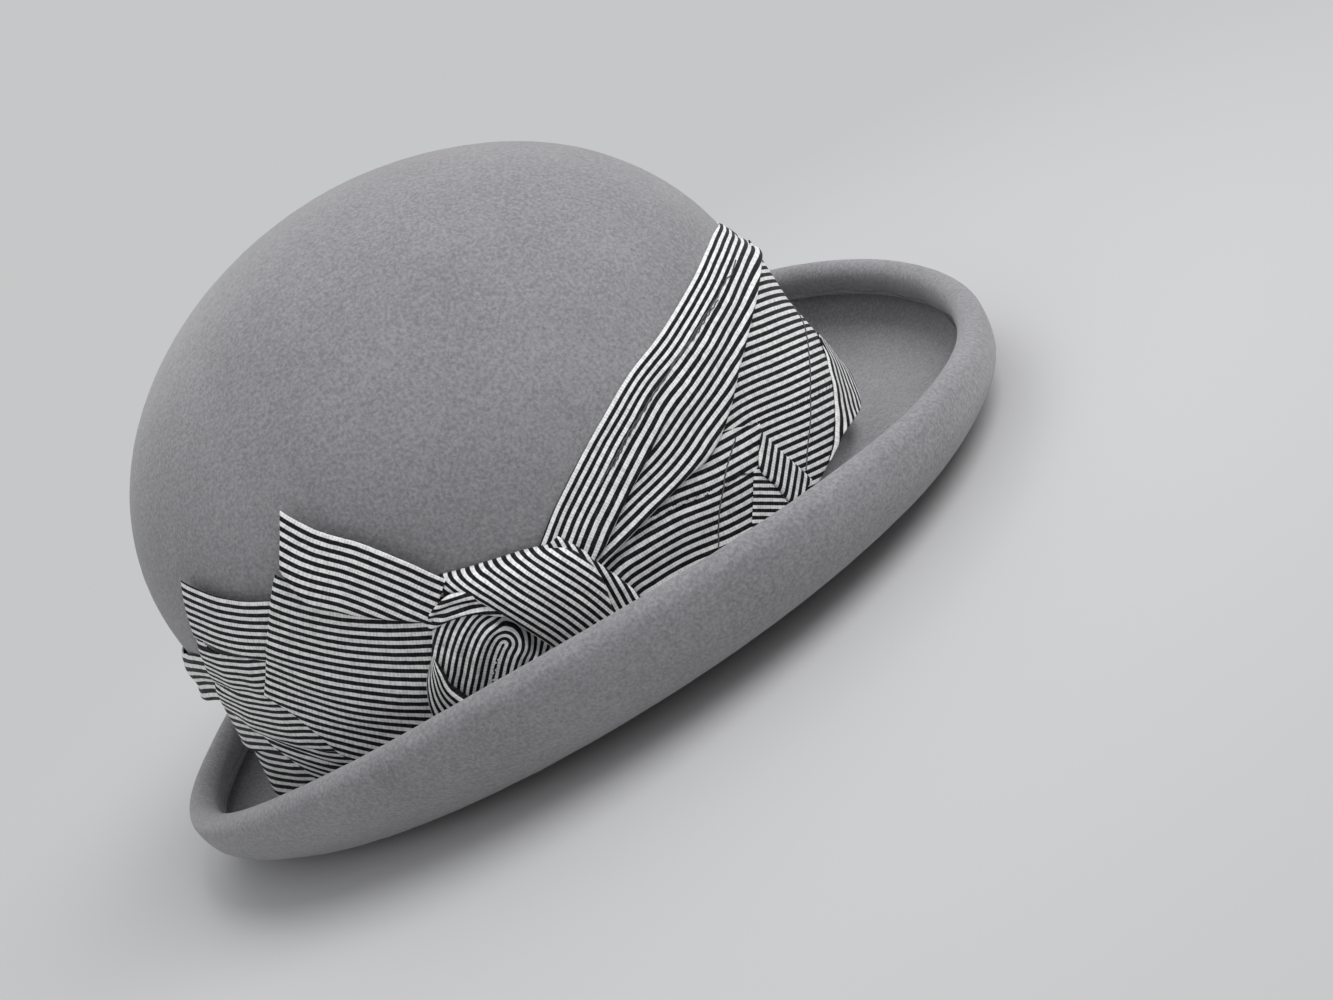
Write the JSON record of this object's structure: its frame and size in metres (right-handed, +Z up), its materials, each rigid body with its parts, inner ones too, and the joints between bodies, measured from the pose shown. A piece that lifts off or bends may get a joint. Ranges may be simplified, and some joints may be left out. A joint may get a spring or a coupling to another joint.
{
  "type": "bowler hat",
  "caption": "Felt bowler hat with a domed crown, an upturned wired brim with a rolled lip, and a knotted sash of fine striped cloth with loose tails.",
  "frame": {"origin": "middle of the brim's outline, on the plane that the brim rests on", "axes": "+X towards the front of the hat, +Y towards the wearer's left, +Z up through the crown"},
  "size_m": [0.2944, 0.2526, 0.154],
  "materials": {
    "felt": "cool grey fur felt with a short fuzzy nap",
    "striped_cloth": "woven black and white stripes, 2.6 mm apart",
    "sweatband_ribbon": "ribbed grey petersham ribbon",
    "brim_wire_steel": "drawn wire",
    "joiner_brass": "crimped tube",
    "thread": "grey sewing thread"
  },
  "bodies": {
    "hat": {"crown": "felt", "brim": "felt", "brim_wire": "brim_wire_steel", "wire_joiner": "joiner_brass", "sweatband": "sweatband_ribbon", "headline_thread": "thread", "sweatband_thread": "thread", "hem_thread": "thread", "rear_wrap": "striped_cloth", "far_sash": "striped_cloth", "front_sash": "striped_cloth", "front_under_panel": "striped_cloth", "front_corner_fold": "striped_cloth", "lower_front_panel": "striped_cloth", "mitre_fold": "striped_cloth", "knot_wrap": "striped_cloth", "knot_core": "striped_cloth", "knot_side_fold": "striped_cloth"},
    "lower_tail": {"lower_tail": "striped_cloth"},
    "upper_tail": {"upper_tail": "striped_cloth"}
  },
  "joints": [
    {"name": "lower_tail_lift", "type": "hinge", "parent": "hat", "child": "lower_tail", "pos_m": [-0.02534, -0.08983, 0.04768], "axis": [0.6249, -0.1056, 0.7735], "range_deg": [0, 8]},
    {"name": "upper_tail_lift", "type": "hinge", "parent": "lower_tail", "child": "upper_tail", "pos_m": [-0.0256, -0.0917, 0.04764], "axis": [0.6303, -0.1062, 0.769], "range_deg": [0, 10]}
  ]
}
